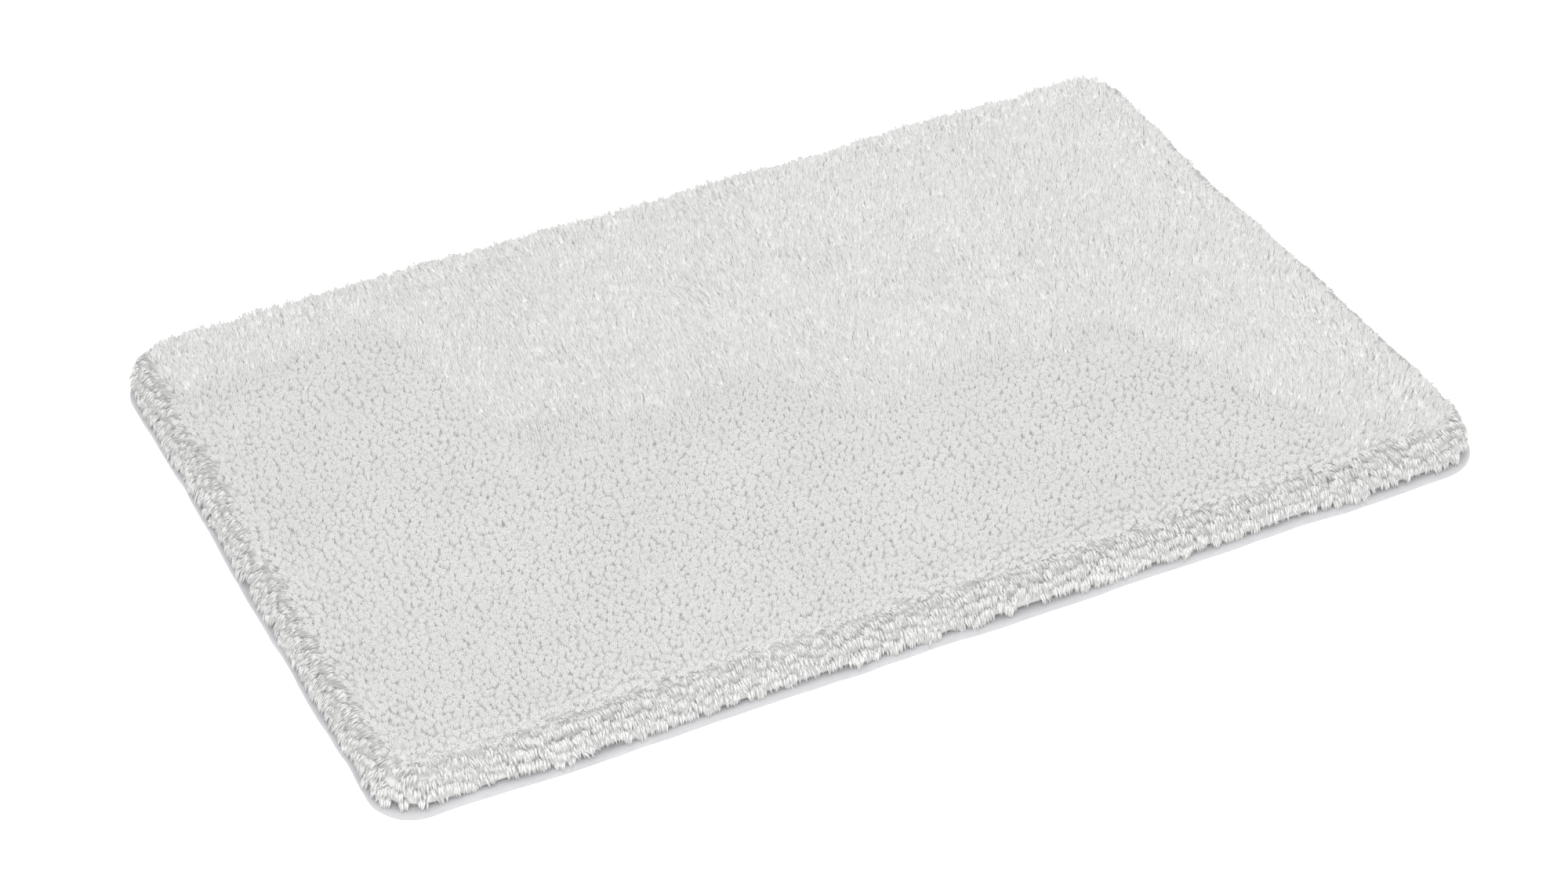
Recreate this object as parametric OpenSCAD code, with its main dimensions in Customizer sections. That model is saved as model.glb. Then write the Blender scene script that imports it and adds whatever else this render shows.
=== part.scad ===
// High-pile tufted bath mat with a bound edge and a non-slip underside.
// It lies flat on the floor. X runs along the long edges, Y along the short edges and +Z is up.
// The origin is the centre of the underside, on the floor. All lengths are in millimetres.

/* [Mat] */
// Length along X, over the pile and the binding
mat_l = 892; // [860:1:900]
// Width along Y, over the pile and the binding
mat_w = 600; // [595:1:620]
// Height of the pile's tips above the floor
mat_h = 42.5; // [41:0.5:50]
// Corner radius of the mat in plan
corner_r = 38; // [35:1:39]

/* [Pile] */
// Radius at which the tips round over from the top to the sides
pile_round = 30; // [20:1:30]
// Distance between neighbouring rows of tufts
row_pitch = 4; // [4:0.5:8]
// Space left between neighbouring groups of rows
group_gap = 0.3; // [0.2:0.1:0.6]

/* [Base layers] */
// Thickness of the woven cloth that the tufts are stitched through
primary_t = 1.0; // [0.8:0.1:1.4]
// Thickness of the rubber layer that locks the tufts
latex_t = 1.4; // [1.2:0.1:1.8]
// Thickness of the cloth under the rubber layer
secondary_t = 0.8; // [0.6:0.1:1.0]
// Width of a row's stitches on the back of the primary backing
stitch_w = 1.6; // [1.2:0.1:2.0]
// Height of a row's stitches on the back of the primary backing
stitch_h = 0.6; // [0.4:0.1:0.8]

/* [Edge binding] */
// Thickness of the binding tape under the mat
tape_t = 1.4; // [1.2:0.1:1.6]
// Thickness of the hem on top, where the tape is turned under itself
hem_t = 3.2; // [2:0.2:3.6]
// Width of the binding, measured in from the outline
tape_w = 12; // [10:0.5:13]
// Width and height of a sewing thread
thread_w = 0.6; // [0.4:0.1:0.8]
// Distance of the seam from the outline
seam_inset = 9; // [7.5:0.5:9]

/* [Non-slip film] */
// Thickness of the rubber film between its dots
film_t = 0.4; // [0.3:0.1:0.5]
// Diameter of a raised dot
dot_d = 8; // [6:0.5:10]
// Distance between dots along X and along Y
dot_pitch = 32; // [28:1:40]

/* [Care label] */
// Width of the label along the edge it is sewn to
label_w = 30; // [20:1:40]
// Length of the label from its seam to its free end
label_l = 45; // [30:1:60]
// Thickness of the label
label_t = 0.3; // [0.2:0.05:0.3]

/* [Hidden] */

pile_groups = 15;
group_w = mat_w / pile_groups;

// Heights of the layers, from the floor up. The film with its dots is as thick as the tape,
// so that the mat rests on both.
secondary_z = tape_t;
film_z = secondary_z - film_t;
latex_z = secondary_z + secondary_t;
primary_z = latex_z + latex_t;
base_top = primary_z + primary_t;
binding_top = base_top + hem_t;

// The layers end inside the binding, at the centre of its rounded outer face
binding_r = binding_top / 2;
layer_inset = binding_r;

// The pile's sides hang over the binding and clear its top thread
thread_h = 0.4;
clearance = 0.3;
pile_hang_z = binding_top + thread_h + clearance;
root_inset = tape_w + clearance;
pile_round_z = mat_h - pile_round;

// The bobbin thread lies in a groove under the binding, clear of the floor
groove_clearance = 0.1;

// The label turns about its sewn edge, just inside the binding, clear of the floor and the film
label_gap = 1.0;
label_hinge_x = mat_l / 2 - tape_w - label_gap;
label_hinge_z = label_t / 2 + clearance;
label_y = 150;
label_margin = 3;

// Half the length of a row of stitches at distance y from the mat's centre line
function row_half_length(y) =
    let (past_corner = max(0, abs(y) - (mat_w / 2 - corner_r)), r = corner_r - root_inset)
    mat_l / 2 - corner_r + sqrt(r * r - past_corner * past_corner);

// Positions of the rows of tufts across the mat, symmetric about its centre line
row_count = 2 * floor((mat_w / 2 - root_inset - row_pitch / 2) / row_pitch) + 2;
row_ys = [for (i = [0 : row_count - 1]) (i - (row_count - 1) / 2) * row_pitch];

// Positions of the dots, a square grid with a dot at the mat's centre
dots_x = floor((mat_l / 2 - tape_w - dot_d) / dot_pitch);
dots_y = floor((mat_w / 2 - tape_w - dot_d) / dot_pitch);

// True where a dot would touch the care label
function under_label(x, y) =
    x > label_hinge_x - label_l - dot_d / 2 - label_margin
    && abs(y - label_y) < label_w / 2 + dot_d / 2 + label_margin;

$fn = 48;

// The mat's outline, moved in by inset
module outline(inset) {
    r = corner_r - inset;
    square([mat_l - 2 * corner_r, mat_w - 2 * inset], center = true);
    square([mat_l - 2 * inset, mat_w - 2 * corner_r], center = true);
    for (x = [-1, 1], y = [-1, 1])
        translate([x * (mat_l / 2 - corner_r), y * (mat_w / 2 - corner_r)])
            circle(r = r);
}

// A flat layer of the base
module layer(inset, z, thickness) {
    translate([0, 0, z])
        linear_extrude(height = thickness)
            outline(inset);
}

// A flat band that follows the outline
module outline_band(inset, width, z, height) {
    translate([0, 0, z])
        linear_extrude(height = height)
            difference() {
                outline(inset);
                outline(inset + width);
            }
}

// Sweeps a profile along both short sides. Profile x is the distance in from the outline.
module along_short_sides(length) {
    for (side = [0, 1])
        mirror([side, 0, 0])
            translate([-mat_l / 2, 0, 0])
                rotate([90, 0, 0])
                    linear_extrude(height = length, center = true)
                        children();
}

// Sweeps a profile along the front long side, between the corners
module along_front_side() {
    translate([0, -mat_w / 2, 0])
        rotate([90, 0, 90])
            linear_extrude(height = mat_l - 2 * corner_r, center = true)
                children();
}

// Turns a profile round the two front corners
module round_front_corners() {
    for (side = [0, 1])
        mirror([side, 0, 0])
            translate([corner_r - mat_l / 2, corner_r - mat_w / 2, 0])
                rotate([0, 0, 180])
                    rotate_extrude(angle = 90)
                        translate([corner_r, 0])
                            mirror([1, 0])
                                children();
}

// Section of the binding: a folded tape with a rounded outer face, open on the inside
module binding_profile() {
    difference() {
        union() {
            translate([binding_r, binding_r])
                circle(r = binding_r);
            translate([binding_r, 0])
                square([tape_w - binding_r, binding_top]);
        }
        translate([layer_inset, secondary_z])
            square([tape_w, base_top - secondary_z]);
    }
}

module edge_binding() {
    color("gainsboro")
        difference() {
            union() {
                along_short_sides(mat_w - 2 * corner_r)
                    binding_profile();
                for (side = [0, 1])
                    mirror([0, side, 0]) {
                        along_front_side()
                            binding_profile();
                        round_front_corners()
                            binding_profile();
                    }
            }
            outline_band(
                seam_inset - groove_clearance,
                thread_w + 2 * groove_clearance,
                -1,
                1 + thread_h + groove_clearance
            );
        }
}

module binding_needle_thread() {
    color("white")
        outline_band(seam_inset, thread_w, binding_top, thread_h);
}

module binding_bobbin_thread() {
    color("white")
        outline_band(seam_inset, thread_w, groove_clearance, thread_h);
}

// Section of the pile from the outline inwards, with its roots inside the binding
module pile_profile(depth) {
    intersection() {
        union() {
            translate([pile_round, pile_round_z])
                circle(r = pile_round, $fn = 96);
            translate([0, pile_hang_z])
                square([depth, pile_round_z - pile_hang_z]);
            translate([pile_round, pile_hang_z])
                square([depth - pile_round, mat_h - pile_hang_z]);
        }
        translate([0, pile_hang_z])
            square([depth, mat_h - pile_hang_z]);
    }
    translate([root_inset, base_top])
        square([depth - root_inset, pile_hang_z - base_top]);
}

// A straight stretch of the pile across the mat, from y_low to y_high
module pile_slab(y_low, y_high) {
    translate([0, (y_low + y_high) / 2, 0])
        rotate([90, 0, 0])
            linear_extrude(height = y_high - y_low, center = true)
                for (side = [0, 1])
                    mirror([side, 0])
                        translate([-mat_l / 2, 0])
                            pile_profile(mat_l / 2 + 1);
}

// The group of rows along the front edge, rounded at its side and at both corners
module pile_front_group() {
    inner_edge = group_w - group_gap / 2;
    along_front_side()
        pile_profile(inner_edge);
    round_front_corners()
        pile_profile(corner_r);
    pile_slab(corner_r - mat_w / 2, inner_edge - mat_w / 2);
}

// Group k of the rows of tufts, counted from the front edge
module tuft_rows(k) {
    color("whitesmoke")
        if (k == 1)
            pile_front_group();
        else if (k == pile_groups)
            mirror([0, 1, 0])
                pile_front_group();
        else
            pile_slab(
                (k - 1) * group_w + group_gap / 2 - mat_w / 2,
                k * group_w - group_gap / 2 - mat_w / 2
            );
}

module primary_backing() {
    color("ivory")
        layer(layer_inset, primary_z, primary_t);
}

module tuft_back_stitches() {
    color("whitesmoke")
        for (y = row_ys)
            translate([-row_half_length(y), y - stitch_w / 2, primary_z - stitch_h])
                cube([2 * row_half_length(y), stitch_w, stitch_h]);
}

module latex_coat() {
    color("lightgray")
        difference() {
            layer(layer_inset, latex_z, latex_t);
            for (y = row_ys)
                translate([-row_half_length(y), y - stitch_w / 2, primary_z - stitch_h])
                    cube([2 * row_half_length(y), stitch_w, stitch_h + 1]);
        }
}

module secondary_backing() {
    color("gainsboro")
        layer(layer_inset, secondary_z, secondary_t);
}

// A thin rubber film inside the binding, with raised dots that grip the floor
module nonslip_film() {
    color("silver") {
        layer(root_inset, film_z, film_t);
        for (i = [-dots_x : dots_x], j = [-dots_y : dots_y])
            if (!under_label(i * dot_pitch, j * dot_pitch))
                translate([i * dot_pitch, j * dot_pitch, 0])
                    cylinder(d = dot_d, h = film_z + film_t / 2);
    }
}

// A blank tape that lies flat under the mat and turns down about its sewn edge
module care_label() {
    color("white")
        translate([label_hinge_x, label_y - label_w / 2, label_hinge_z]) {
            translate([-label_l, 0, -label_t / 2])
                cube([label_l, label_w, label_t]);
            rotate([-90, 0, 0])
                cylinder(d = label_t, h = label_w);
        }
}

tuft_rows(1);  // tuft_rows_01
tuft_rows(2);  // tuft_rows_02
tuft_rows(3);  // tuft_rows_03
tuft_rows(4);  // tuft_rows_04
tuft_rows(5);  // tuft_rows_05
tuft_rows(6);  // tuft_rows_06
tuft_rows(7);  // tuft_rows_07
tuft_rows(8);  // tuft_rows_08
tuft_rows(9);  // tuft_rows_09
tuft_rows(10);  // tuft_rows_10
tuft_rows(11);  // tuft_rows_11
tuft_rows(12);  // tuft_rows_12
tuft_rows(13);  // tuft_rows_13
tuft_rows(14);  // tuft_rows_14
tuft_rows(15);  // tuft_rows_15
primary_backing();
tuft_back_stitches();
latex_coat();
secondary_backing();
edge_binding();
binding_needle_thread();
binding_bobbin_thread();
nonslip_film();
care_label();
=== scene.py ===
import math

import bpy
import numpy as np
from mathutils import Matrix, Vector


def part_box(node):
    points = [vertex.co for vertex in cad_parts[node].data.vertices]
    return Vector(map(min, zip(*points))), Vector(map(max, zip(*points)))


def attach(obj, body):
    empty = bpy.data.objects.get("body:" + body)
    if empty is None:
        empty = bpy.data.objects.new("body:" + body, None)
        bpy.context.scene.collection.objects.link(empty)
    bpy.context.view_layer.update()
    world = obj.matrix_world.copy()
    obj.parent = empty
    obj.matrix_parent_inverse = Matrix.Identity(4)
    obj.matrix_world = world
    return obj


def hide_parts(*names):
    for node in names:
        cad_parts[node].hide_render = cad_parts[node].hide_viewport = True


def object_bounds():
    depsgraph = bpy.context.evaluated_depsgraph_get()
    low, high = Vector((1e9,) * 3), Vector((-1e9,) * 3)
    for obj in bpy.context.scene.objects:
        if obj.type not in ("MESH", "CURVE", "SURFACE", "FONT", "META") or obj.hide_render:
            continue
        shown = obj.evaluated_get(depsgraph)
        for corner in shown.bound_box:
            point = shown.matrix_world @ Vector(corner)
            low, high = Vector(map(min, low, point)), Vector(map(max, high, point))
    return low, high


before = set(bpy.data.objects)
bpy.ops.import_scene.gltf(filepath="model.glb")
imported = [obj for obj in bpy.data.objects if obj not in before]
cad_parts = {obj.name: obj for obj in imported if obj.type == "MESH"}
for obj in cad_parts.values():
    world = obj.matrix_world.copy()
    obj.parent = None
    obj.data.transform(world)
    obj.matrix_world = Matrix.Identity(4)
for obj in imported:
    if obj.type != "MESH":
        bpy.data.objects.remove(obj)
CAD_LOW, CAD_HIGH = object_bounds()

# ---------------------------------------------------------------- sizes, in metres
MM = 0.001
MAT_L = CAD_HIGH[0] - CAD_LOW[0]
MAT_W = CAD_HIGH[1] - CAD_LOW[1]
MAT_H = CAD_HIGH[2] - CAD_LOW[2]
CORNER_R = 38 * MM
BASE_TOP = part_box("primary_backing")[1].z
HEM_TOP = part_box("edge_binding")[1].z
HEM_WIDTH = 12 * MM
LAYER_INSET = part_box("primary_backing")[0].x - CAD_LOW[0]
ROOT_INSET = 12.3 * MM
SEAM_INSET = 9.3 * MM
STITCH = 3.5 * MM
STITCH_SHARE = 0.88
THREAD_R = 0.3 * MM
THREAD_SIDES = 6
FILM_T = 0.4 * MM
DOT_D = 8 * MM
DOT_PITCH = 32 * MM
DOT_SIDES = 20
LABEL_GAP = 3 * MM

# The pile: rows of tufts on a 5/32 inch gauge, with the tufts closer together near the edge
ROW_PITCH = 4 * MM
TUFT_STEP = 1.4 * MM
STEPS_INSIDE = 3
STEPS_AT_EDGE = 2
DENSE_EDGE = 40 * MM
ROOT_SCATTER = 0.45 * MM
PILE_GROUPS = 15
FIBRES = 16
HANGING_FIBRES = 12
LOCK_SIDES = 4
THIN_SIDES = 3
GOLDEN_TURN = 2.399
LOCK = 6.3 * MM
EDGE_LOCK = 8 * MM
LOCK_CELLS = 256
LOCK_JITTER = 0.45
JITTER_ACROSS = 0.6
SHORTEST_RISE = 22 * MM

# Inside the mat: how much a tuft's lean turns its tip, and from where along X, and over what length,
# the brushing turns
LEAN_TO_TURN = 90
TURN_FROM = -0.05
TURN_OVER = 0.35

# The rounded side of the pile. A tip's run is its way up the outer face, which starts SIDE_DROP
# below the curve, and the lowest of the face is drawn in by TUCK
EDGE_ZONE = 52 * MM
ROUND_R = 30 * MM
SIDE_DROP = 5 * MM
FLOOR_GAP = 1.0 * MM
LOWEST_TIP = -1.5 * MM
FACE_ARC = math.pi / 2 * ROUND_R
CURL = math.radians(83)
TUCK = 0.5 * MM
TUCK_HEIGHT = 16 * MM

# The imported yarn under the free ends: how far below and behind the tips it is, and where it ends
BODY_DEPTH = 6.3 * MM
BODY_INSET = 6.5 * MM
BODY_TAPER = 3 * MM
BODY_FLOOR = HEM_TOP + 1.7 * MM
BODY_CELL = 5 * MM
# The height over which the body's colour goes from painted shade on top to painted light down the sides
BODY_SHADE = 10 * MM


# ---------------------------------------------------------------- helpers
# The noise lattice repeats after this many cells, and the shift puts the mat's centre near its middle
NOISE_CELLS = 64
NOISE_SHIFT = (32.37, 31.73)


def smooth_noise(x, y, scale, seed):
    """Smooth random values from -1 to 1 at points x, y, with features about scale metres wide."""
    lattice = np.random.default_rng(seed).uniform(-1, 1, (NOISE_CELLS, NOISE_CELLS))
    u, v = x / scale + NOISE_SHIFT[0], y / scale + NOISE_SHIFT[1]
    i, j = np.floor(u).astype(int), np.floor(v).astype(int)
    a, b = smooth_step(u - i), smooth_step(v - j)
    i0, i1 = i % NOISE_CELLS, (i + 1) % NOISE_CELLS
    j0, j1 = j % NOISE_CELLS, (j + 1) % NOISE_CELLS
    low = lattice[i0, j0] * (1 - a) + lattice[i1, j0] * a
    high = lattice[i0, j1] * (1 - a) + lattice[i1, j1] * a
    return low * (1 - b) + high * b


def smooth_step(t):
    """0 below 0, 1 above 1, and a smooth rise between."""
    t = np.clip(t, 0, 1)
    return t * t * (3 - 2 * t)


def unit(v):
    """Vectors along the last axis, at unit length."""
    return v / np.maximum(np.linalg.norm(v, axis=-1, keepdims=True), 1e-9)


def edge_distance(x, y):
    """Distance in from the mat's outline."""
    cx = np.abs(x) - (MAT_L / 2 - CORNER_R)
    cy = np.abs(y) - (MAT_W / 2 - CORNER_R)
    in_corner = (cx > 0) & (cy > 0)
    return np.where(in_corner, CORNER_R - np.hypot(cx, cy), CORNER_R - np.maximum(cx, cy))


def outward(x, y):
    """Unit direction towards the nearest side, turning smoothly from one side to the next."""
    wx = np.clip(1 - (MAT_L / 2 - np.abs(x)) / EDGE_ZONE, 0.001, 1) ** 2 * np.sign(x)
    wy = np.clip(1 - (MAT_W / 2 - np.abs(y)) / EDGE_ZONE, 0.001, 1) ** 2 * np.sign(y)
    length = np.hypot(wx, wy)
    return wx / length, wy / length


def edge_wander(x, y):
    """How far the soft edge strays outwards from the straight outline."""
    return 2.0 * MM * smooth_noise(x, y, 60 * MM, 61)


def new_mesh_object(name, verts, faces, smooth=True):
    """A mesh object from an array of points and an array of triangles or quads."""
    sides = faces.shape[1]
    mesh = bpy.data.meshes.new(name)
    mesh.vertices.add(len(verts))
    mesh.vertices.foreach_set("co", np.asarray(verts, np.float32).ravel())
    mesh.loops.add(faces.size)
    mesh.loops.foreach_set("vertex_index", faces.astype(np.int32).ravel())
    mesh.polygons.add(len(faces))
    mesh.polygons.foreach_set("loop_start", np.arange(0, faces.size, sides, dtype=np.int32))
    mesh.polygons.foreach_set("use_smooth", np.full(len(faces), smooth))
    mesh.update(calc_edges=True)
    obj = bpy.data.objects.new(name, mesh)
    bpy.context.scene.collection.objects.link(obj)
    return obj


def point_values(obj, name, values):
    """Stores one value for each point of the mesh, for its material to read."""
    attribute = obj.data.attributes.new(name, "FLOAT", "POINT")
    attribute.data.foreach_set("value", np.asarray(values, np.float32))


# ---------------------------------------------------------------- pile
def tuft_roots():
    """Root positions of all tufts and the group that each belongs to."""
    rng = np.random.default_rng(11)
    xs, ys, groups = [], [], []
    row_count = int((MAT_W / 2 - ROOT_INSET - ROW_PITCH / 2) / ROW_PITCH) * 2 + 2
    half_steps = int(MAT_L / 2 / TUFT_STEP)
    step = np.arange(-half_steps, half_steps + 1)
    for row in range(row_count):
        y = (row - (row_count - 1) / 2) * ROW_PITCH
        x = step * TUFT_STEP
        d = edge_distance(x, np.full(len(x), y))
        at_edge = (step + row) % STEPS_AT_EDGE == 0
        inside = (step + row) % STEPS_INSIDE == 0
        x = x[(d > ROOT_INSET) & np.where(d < DENSE_EDGE, at_edge, inside)]
        xs.append(x)
        ys.append(np.full(len(x), y))
        groups.append(np.full(len(x), int((y + MAT_W / 2) / (MAT_W / PILE_GROUPS))))
    x, y, group = np.concatenate(xs), np.concatenate(ys), np.concatenate(groups)
    x = x + rng.normal(0, ROOT_SCATTER, len(x))
    y = y + rng.normal(0, ROOT_SCATTER, len(y))
    return x, y, group


def brushed_share(x, y):
    """1 where the pile is brushed back, 0 where it stands up, with a ragged border between."""
    # the border's place along Y steps down from left to right
    left = 200 * MM - 200 * MM * smooth_step((x + 260 * MM) / (60 * MM))
    middle = -50 * MM * smooth_step((x + 20 * MM) / (50 * MM))
    right = -220 * MM * smooth_step((x - 240 * MM) / (120 * MM))
    ragged = 20 * MM * smooth_noise(x, y, 70 * MM, 21) + 14 * MM * smooth_noise(x, y, 27 * MM, 22)
    return smooth_step((y - left - middle - right + ragged) / (65 * MM) + 0.5)


def lock_centre(x, y, size, seed):
    """Centre of the lock of yarn that each point belongs to: the nearest point of a jittered grid of rows."""
    lattice = np.random.default_rng(seed).uniform(-LOCK_JITTER, LOCK_JITTER, (2, LOCK_CELLS, LOCK_CELLS))
    lattice[1] *= JITTER_ACROSS
    i, j = np.floor(x / size).astype(int), np.floor(y / size).astype(int)
    best, bx, by = np.full(len(x), 1e9), x.copy(), y.copy()
    for di in (-1, 0, 1):
        for dj in (-1, 0, 1):
            ci, cj = i + di, j + dj
            cx = (ci + 0.5 + lattice[0, ci % LOCK_CELLS, cj % LOCK_CELLS]) * size
            cy = (cj + 0.5 + lattice[1, ci % LOCK_CELLS, cj % LOCK_CELLS]) * size
            dist = (cx - x) ** 2 + (cy - y) ** 2
            near = dist < best
            best = np.where(near, dist, best)
            bx, by = np.where(near, cx, bx), np.where(near, cy, by)
    return bx, by


def lock_noise(cx, cy, seed):
    """A random value from -1 to 1 for each lock, from the position of its centre."""
    return smooth_noise(cx, cy, 3 * MM, seed)


def lean_inside(x, y, brushed, rng):
    """How far each tip leans from its root along X and Y, and how much it stands above its neighbours."""
    turn = np.radians(24) * smooth_step((x - TURN_FROM) / TURN_OVER) + 0.3 * smooth_noise(x, y, 60 * MM, 31)
    lean = brushed * (9.0 + 2.5 * smooth_noise(x, y, 25 * MM, 32)) * MM
    standing = 1 - brushed
    cx, cy = lock_centre(x, y, LOCK, 38)
    pull = 0.41 + 0.2 * smooth_noise(x, y, 38 * MM, 40) - 0.2 * brushed
    wander = 0.6 + 0.5 * standing
    lx = lean * np.sin(turn) + standing * 2.0 * MM * smooth_noise(x, y, 22 * MM, 33)
    ly = lean * np.cos(turn) - standing * (1.2 - 2.0 * smooth_noise(x, y, 22 * MM, 34)) * MM
    lx += pull * (cx - x) + wander * MM * lock_noise(cx, cy, 41)
    lx += rng.normal(0, 0.35 * MM, len(x))
    ly += pull * (cy - y) + wander * MM * lock_noise(cx, cy, 42)
    ly += rng.normal(0, 0.35 * MM, len(x))
    height = 0.9 * smooth_noise(x, y, 90 * MM, 35) + 1.0 * lock_noise(cx, cy, 36)
    return lx, ly, (height - 1.5) * MM + rng.normal(0, 0.35 * MM, len(x))


def run_up_side(x, y, lock_x, lock_y, rng):
    """How far each tip is along the pile's outer face, up the side, round the curve and inwards."""
    total = SIDE_DROP + FACE_ARC + (EDGE_ZONE - ROUND_R)
    u = np.clip((edge_distance(x, y) - ROOT_INSET) / (EDGE_ZONE - ROOT_INSET), 0, 1)
    ratio = (EDGE_ZONE - ROOT_INSET) / total
    uneven = 1.5 * MM * lock_noise(lock_x, lock_y, 43) + rng.normal(0, 3.2 * MM, len(x))
    uneven += (4.5 * smooth_noise(x, y, 26 * MM, 47) + 3.0 * smooth_noise(x, y, 11 * MM, 48)) * MM
    run = total * ((2 - ratio) * u - (1 - ratio) * u * u) + uneven * (1 - u)
    return np.maximum(run, LOWEST_TIP), u < 1


def outer_face(run):
    """Distance in from the outline, height and slope of the pile's outer face, run metres along it."""
    turned = np.clip((run - SIDE_DROP) / ROUND_R, 0, math.pi / 2)
    tuck = TUCK * np.clip(1 - run / TUCK_HEIGHT, 0, 1.1) ** 2
    inset = ROUND_R * (1 - np.cos(turned)) + np.maximum(run - SIDE_DROP - FACE_ARC, 0) + tuck
    height = MAT_H - ROUND_R + ROUND_R * np.sin(turned) - np.maximum(SIDE_DROP - run, 0)
    return inset, height, math.pi / 2 - turned


def edge_tips(x, y, upright, brushed, lean_x, lean_y, rng):
    """Tips and directions along the pile's outer face, how far each is on the side, and which are near it."""
    n = len(x)
    nx, ny = outward(x, y)
    lock_x, lock_y = lock_centre(x, y, EDGE_LOCK, 39)
    run, edge = run_up_side(x, y, lock_x, lock_y, rng)
    inset, z, slope = outer_face(run)
    on_side = smooth_step(slope / 0.9)
    flat = 1 - on_side
    # the tips are pushed out to the face, and drawn together along it into locks
    wave = (1.2 * smooth_noise(x, y, 16 * MM, 37) - 0.6) * MM * on_side + edge_wander(x, y)
    push = edge_distance(x, y) - inset + wave
    along = 0.2 * on_side * ((lock_y - y) * nx - (lock_x - x) * ny)
    tip_x = x + nx * push - ny * along + flat * lean_x
    tip_y = y + ny * push + nx * along + flat * lean_y
    tip = np.stack([tip_x, tip_y, z], 1) + rng.normal(0, 0.5 * MM, (n, 3))
    angle = slope + CURL * smooth_step(slope)
    hanging = np.stack([nx * np.sin(angle), ny * np.sin(angle), np.cos(angle)], 1)
    hanging = hanging * (1 - brushed * flat)[:, None] + (flat**2)[:, None] * unit(upright)
    hanging[:, 0] += 0.16 * lock_noise(lock_x, lock_y, 44)
    hanging[:, 1] += 0.16 * lock_noise(lock_x, lock_y, 45)
    hanging += rng.normal(0, 0.04, (n, 3))
    return tip, hanging, on_side, edge


def pile_tips(x, y, rng):
    """Where each tuft's tip is, which way it points, and how far it is brushed or hangs."""
    n = len(x)
    brushed = brushed_share(x, y)
    lean_x, lean_y, height = lean_inside(x, y, brushed, rng)
    upright = np.stack([lean_x * LEAN_TO_TURN, lean_y * LEAN_TO_TURN, 1.0 - 0.82 * brushed], 1)
    upright = upright + rng.normal(0, 0.14, (n, 3))
    edge_tip, hanging, on_side, edge = edge_tips(x, y, upright, brushed, lean_x, lean_y, rng)
    inner_tip = np.stack([x + lean_x, y + lean_y, np.full(n, MAT_H)], 1)
    tip = np.where(edge[:, None], edge_tip, inner_tip)
    tip[:, 2] += height
    direction = unit(np.where(edge[:, None], hanging, upright))
    return tip, direction, brushed, on_side * edge


def bezier(p0, p1, p2, p3, s):
    """Points and unit tangents of each tuft's centre line at the shares s (n, rings) of its length."""
    s = s[:, :, None]
    p0, p1, p2, p3 = (p[:, None, :] for p in (p0, p1, p2, p3))
    point = (1 - s) ** 3 * p0 + 3 * (1 - s) ** 2 * s * p1 + 3 * (1 - s) * s**2 * p2 + s**3 * p3
    tangent = 3 * (1 - s) ** 2 * (p1 - p0) + 6 * (1 - s) * s * (p2 - p1) + 3 * s**2 * (p3 - p2)
    return point, unit(tangent)


def across(tangent):
    """Two unit directions across each tangent."""
    first = unit(np.cross(tangent, np.array([0.31, 0.95, 0.05])))
    return first, np.cross(tangent, first)


def facing_out(tangent):
    """The level direction across each hanging strand, and the direction out from the surface it lies on."""
    level = unit(np.cross(np.array([0.0, 0.0, 1.0]), tangent))
    return level, np.cross(tangent, level)


def prism_faces(rings, sides):
    """Triangles of a closed prism of that many rings and sides."""
    faces = []
    for k in range(rings - 1):
        for j in range(sides):
            a, b = k * sides + j, k * sides + (j + 1) % sides
            faces += [(a, b, b + sides), (a, b + sides, a + sides)]
    top = (rings - 1) * sides
    for j in range(1, sides - 1):
        faces += [(0, j + 1, j), (top, top + j, top + j + 1)]
    return np.array(faces)


def repeat_faces(pattern, n, points):
    """The faces of n copies of one pattern, each copy with that many points."""
    return (pattern[None] + (np.arange(n) * points)[:, None, None]).reshape(-1, 3)


def ring_points(point, tangent, radius, sides, spin):
    """Points round a centre line: point and tangent are (n, rings, 3), radius is (n, rings)."""
    first, second = across(tangent)
    turn = spin[:, None, None] + np.arange(sides)[None, None, :] * 2 * math.pi / sides
    return point[:, :, None, :] + radius[:, :, None, None] * (
        np.cos(turn)[..., None] * first[:, :, None, :] + np.sin(turn)[..., None] * second[:, :, None, :]
    )


def outward_tetrahedra(v):
    """Faces of closed tetrahedra, all facing out. v is (n, 4, 3)."""
    volume = np.einsum("ij,ij->i", v[:, 1] - v[:, 0], np.cross(v[:, 2] - v[:, 0], v[:, 3] - v[:, 0]))
    faces = repeat_faces(np.array([(0, 2, 1), (0, 1, 3), (1, 2, 3), (0, 3, 2)]), len(v), 4).reshape(-1, 4, 3)
    flipped = volume < 0
    faces[flipped] = faces[flipped][:, :, ::-1]
    return faces.reshape(-1, 3)


def blunt_bundle(start, end, roll, thick):
    """A bundle with a cut end: one point at its start and a triangle across its end."""
    first, second = (v[:, 0] for v in across(unit(end - start)[:, None]))
    u_dir = np.cos(roll) * first + np.sin(roll) * second
    v_dir = np.cos(roll) * second - np.sin(roll) * first
    return np.stack([
        start,
        end + 0.75 * thick * u_dir,
        end + thick * (-0.38 * u_dir + 0.65 * v_dir),
        end + thick * (-0.38 * u_dir - 0.65 * v_dir),
    ], 1)


def thin_bundle(start, end, tilt, thick):
    """A bundle that lies down: wide and level at its start, thin at its end."""
    level = unit(np.cross(unit(end - start), np.array([0.0, 0.0, 1.0])))
    lift = np.cross(unit(end - start), level)
    wide = np.cos(tilt) * level + np.sin(tilt) * lift
    narrow = np.cos(tilt) * lift - np.sin(tilt) * level
    return np.stack([
        start - 0.8 * thick * wide,
        start + 0.8 * thick * wide,
        end - 0.25 * thick * narrow,
        end + 0.25 * thick * narrow,
    ], 1)


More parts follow.
